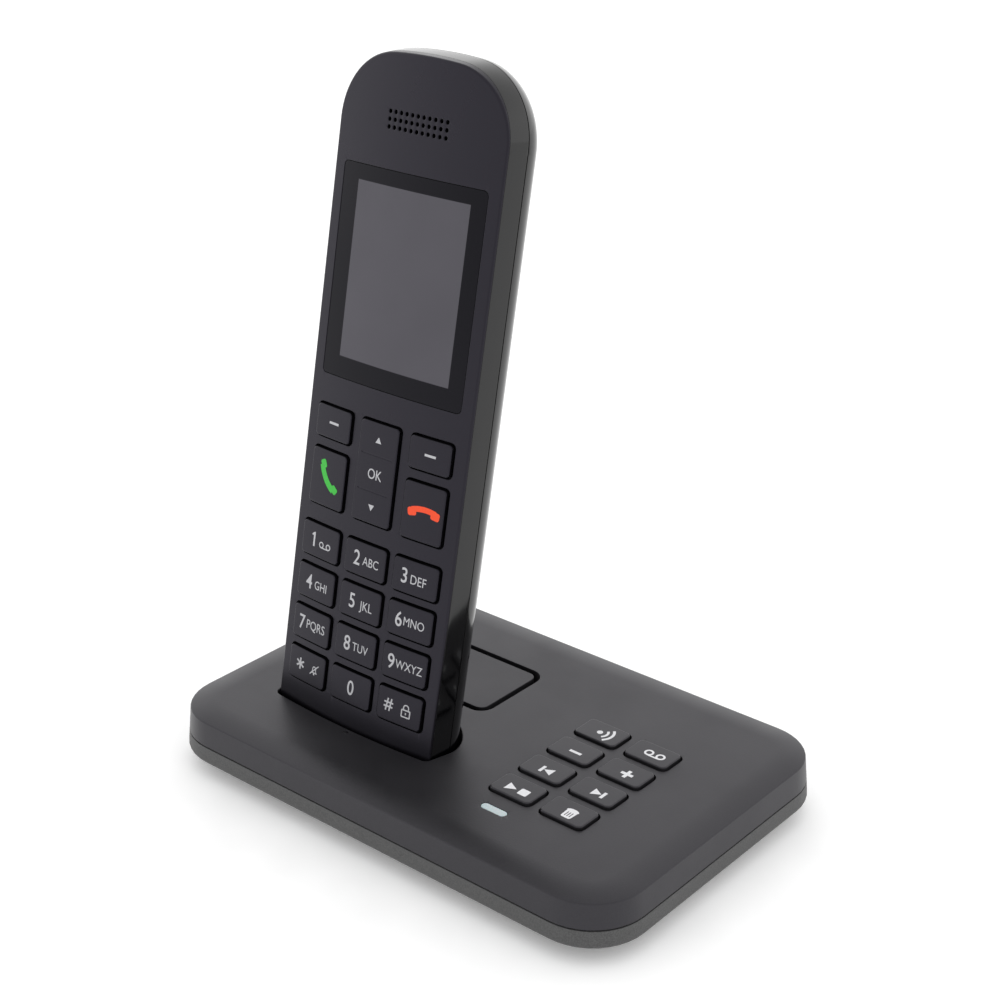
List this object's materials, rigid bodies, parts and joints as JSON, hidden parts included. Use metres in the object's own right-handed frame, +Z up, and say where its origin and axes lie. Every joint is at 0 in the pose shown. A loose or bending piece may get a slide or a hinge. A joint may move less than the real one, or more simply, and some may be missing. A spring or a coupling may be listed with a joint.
{
  "type": "answering machine with cordless handset",
  "caption": "Cordless telephone handset standing in a flat charging base that holds an answering machine, with keys, display, loudspeaker and battery door.",
  "frame": {"origin": "on the table under the middle of the base's outline", "axes": "+Z up, +X to the right along the base's long side, towards the keys, +Y to the back, where the sockets are; the handset faces -Y"},
  "size_m": [0.131, 0.086, 0.1643],
  "materials": {
    "charcoal_plastic": "fine matt texture",
    "key_plastic": "smooth satin with printed legends",
    "black_gloss": "polished",
    "lens": "clear with a dark border printed behind",
    "display": "dark grey panel in a thin metal frame",
    "circuit_board": "green solder mask",
    "silicone": "soft grey silicone",
    "steel": "zinc plated",
    "contact_metal": "gold plated",
    "tinned_metal": "tinned sheet",
    "ferrite": "dark grey ferrite",
    "cone_film": "thin moulded film",
    "black_plastic": "plain",
    "light_guide": "milky clear",
    "cell_wrap": "printed green film on a steel can",
    "foot_rubber": "soft matt rubber",
    "chip_resin": "moulded resin"
  },
  "bodies": {
    "base": {"base_top_cover": "charcoal_plastic", "base_bottom_cover": "charcoal_plastic", "speaker_panel": "charcoal_plastic", "loudspeaker_basket": "tinned_metal", "loudspeaker_cone": "cone_film", "loudspeaker_magnet": "ferrite", "base_circuit_board": "circuit_board", "base_key_board": "circuit_board", "base_key_mat": "silicone", "base_radio_shield": "tinned_metal", "base_chips": "chip_resin", "message_light": "light_guide", "charge_light": "light_guide", "charge_contacts": "contact_metal", "rubber_feet": "foot_rubber", "base_screws": "steel", "line_socket": "black_plastic", "power_socket": "black_plastic"},
    "handset": {"handset_front_shell": "charcoal_plastic", "handset_side_frame": "black_gloss", "handset_back_shell": "black_gloss", "display_lens": "lens", "display_module": "display", "handset_circuit_board": "circuit_board", "handset_radio_shield": "tinned_metal", "handset_key_mat": "silicone", "earpiece": "black_plastic", "microphone": "steel", "ringer": "black_plastic", "battery_cells": "cell_wrap", "battery_contacts": "steel", "charge_pads": "contact_metal", "handset_screws": "steel"},
    "battery_door": {"battery_door": "black_gloss"},
    "navigation_pivot": {"navigation_pivot": "black_plastic"},
    "key_1": {"key_1": "key_plastic"},
    "key_2": {"key_2": "key_plastic"},
    "key_3": {"key_3": "key_plastic"},
    "key_4": {"key_4": "key_plastic"},
    "key_5": {"key_5": "key_plastic"},
    "key_6": {"key_6": "key_plastic"},
    "key_7": {"key_7": "key_plastic"},
    "key_8": {"key_8": "key_plastic"},
    "key_9": {"key_9": "key_plastic"},
    "key_star": {"key_star": "key_plastic"},
    "key_0": {"key_0": "key_plastic"},
    "key_hash": {"key_hash": "key_plastic"},
    "key_soft_left": {"key_soft_left": "key_plastic"},
    "key_soft_right": {"key_soft_right": "key_plastic"},
    "key_call": {"key_call": "key_plastic"},
    "key_end": {"key_end": "key_plastic"},
    "key_navigation": {"key_navigation": "key_plastic"},
    "key_page": {"key_page": "key_plastic"},
    "key_messages": {"key_messages": "key_plastic"},
    "key_volume_down": {"key_volume_down": "key_plastic"},
    "key_volume_up": {"key_volume_up": "key_plastic"},
    "key_previous": {"key_previous": "key_plastic"},
    "key_next": {"key_next": "key_plastic"},
    "key_play_stop": {"key_play_stop": "key_plastic"},
    "key_delete": {"key_delete": "key_plastic"}
  },
  "joints": [
    {"name": "handset_lift", "type": "slide", "parent": "base", "child": "handset", "axis": [0, 0.1977, 0.9803], "range_m": [0, 0.04]},
    {"name": "battery_door_release", "type": "slide", "parent": "handset", "child": "battery_door", "axis": [0, 0.9803, -0.1977], "range_m": [0, 0.012]},
    {"name": "key_1_press", "type": "slide", "parent": "handset", "child": "key_1", "axis": [0, 0.9803, -0.1977], "range_m": [0, 0.0007], "stiffness_N_per_m": 400, "springref_m": -0.001},
    {"name": "key_2_press", "type": "slide", "parent": "handset", "child": "key_2", "axis": [0, 0.9803, -0.1977], "range_m": [0, 0.0007], "stiffness_N_per_m": 400, "springref_m": -0.001},
    {"name": "key_3_press", "type": "slide", "parent": "handset", "child": "key_3", "axis": [0, 0.9803, -0.1977], "range_m": [0, 0.0007], "stiffness_N_per_m": 400, "springref_m": -0.001},
    {"name": "key_4_press", "type": "slide", "parent": "handset", "child": "key_4", "axis": [0, 0.9803, -0.1977], "range_m": [0, 0.0007], "stiffness_N_per_m": 400, "springref_m": -0.001},
    {"name": "key_5_press", "type": "slide", "parent": "handset", "child": "key_5", "axis": [0, 0.9803, -0.1977], "range_m": [0, 0.0007], "stiffness_N_per_m": 400, "springref_m": -0.001},
    {"name": "key_6_press", "type": "slide", "parent": "handset", "child": "key_6", "axis": [0, 0.9803, -0.1977], "range_m": [0, 0.0007], "stiffness_N_per_m": 400, "springref_m": -0.001},
    {"name": "key_7_press", "type": "slide", "parent": "handset", "child": "key_7", "axis": [0, 0.9803, -0.1977], "range_m": [0, 0.0007], "stiffness_N_per_m": 400, "springref_m": -0.001},
    {"name": "key_8_press", "type": "slide", "parent": "handset", "child": "key_8", "axis": [0, 0.9803, -0.1977], "range_m": [0, 0.0007], "stiffness_N_per_m": 400, "springref_m": -0.001},
    {"name": "key_9_press", "type": "slide", "parent": "handset", "child": "key_9", "axis": [0, 0.9803, -0.1977], "range_m": [0, 0.0007], "stiffness_N_per_m": 400, "springref_m": -0.001},
    {"name": "key_star_press", "type": "slide", "parent": "handset", "child": "key_star", "axis": [0, 0.9803, -0.1977], "range_m": [0, 0.0007], "stiffness_N_per_m": 400, "springref_m": -0.001},
    {"name": "key_0_press", "type": "slide", "parent": "handset", "child": "key_0", "axis": [0, 0.9803, -0.1977], "range_m": [0, 0.0007], "stiffness_N_per_m": 400, "springref_m": -0.001},
    {"name": "key_hash_press", "type": "slide", "parent": "handset", "child": "key_hash", "axis": [0, 0.9803, -0.1977], "range_m": [0, 0.0007], "stiffness_N_per_m": 400, "springref_m": -0.001},
    {"name": "key_soft_left_press", "type": "slide", "parent": "handset", "child": "key_soft_left", "axis": [0, 0.9803, -0.1977], "range_m": [0, 0.0007], "stiffness_N_per_m": 400, "springref_m": -0.001},
    {"name": "key_soft_right_press", "type": "slide", "parent": "handset", "child": "key_soft_right", "axis": [0, 0.9803, -0.1977], "range_m": [0, 0.0007], "stiffness_N_per_m": 400, "springref_m": -0.001},
    {"name": "key_call_press", "type": "slide", "parent": "handset", "child": "key_call", "axis": [0, 0.9803, -0.1977], "range_m": [0, 0.0007], "stiffness_N_per_m": 400, "springref_m": -0.001},
    {"name": "key_end_press", "type": "slide", "parent": "handset", "child": "key_end", "axis": [0, 0.9803, -0.1977], "range_m": [0, 0.0007], "stiffness_N_per_m": 400, "springref_m": -0.001},
    {"name": "key_navigation_press", "type": "slide", "parent": "handset", "child": "navigation_pivot", "axis": [0, 0.9803, -0.1977], "range_m": [0, 0.0007], "stiffness_N_per_m": 400, "springref_m": -0.001},
    {"name": "key_navigation_rock", "type": "hinge", "parent": "navigation_pivot", "child": "key_navigation", "pos_m": [-0.0241, -0.00942, 0.07467], "axis": [1, 0, 0], "range_deg": [-2, 2], "stiffness_Nm_per_rad": 0.03},
    {"name": "key_page_press", "type": "slide", "parent": "base", "child": "key_page", "axis": [0, 0, -1], "range_m": [0, 0.0007], "stiffness_N_per_m": 400, "springref_m": -0.001},
    {"name": "key_messages_press", "type": "slide", "parent": "base", "child": "key_messages", "axis": [0, 0, -1], "range_m": [0, 0.0007], "stiffness_N_per_m": 400, "springref_m": -0.001},
    {"name": "key_volume_down_press", "type": "slide", "parent": "base", "child": "key_volume_down", "axis": [0, 0, -1], "range_m": [0, 0.0007], "stiffness_N_per_m": 400, "springref_m": -0.001},
    {"name": "key_volume_up_press", "type": "slide", "parent": "base", "child": "key_volume_up", "axis": [0, 0, -1], "range_m": [0, 0.0007], "stiffness_N_per_m": 400, "springref_m": -0.001},
    {"name": "key_previous_press", "type": "slide", "parent": "base", "child": "key_previous", "axis": [0, 0, -1], "range_m": [0, 0.0007], "stiffness_N_per_m": 400, "springref_m": -0.001},
    {"name": "key_next_press", "type": "slide", "parent": "base", "child": "key_next", "axis": [0, 0, -1], "range_m": [0, 0.0007], "stiffness_N_per_m": 400, "springref_m": -0.001},
    {"name": "key_play_stop_press", "type": "slide", "parent": "base", "child": "key_play_stop", "axis": [0, 0, -1], "range_m": [0, 0.0007], "stiffness_N_per_m": 400, "springref_m": -0.001},
    {"name": "key_delete_press", "type": "slide", "parent": "base", "child": "key_delete", "axis": [0, 0, -1], "range_m": [0, 0.0007], "stiffness_N_per_m": 400, "springref_m": -0.001}
  ]
}
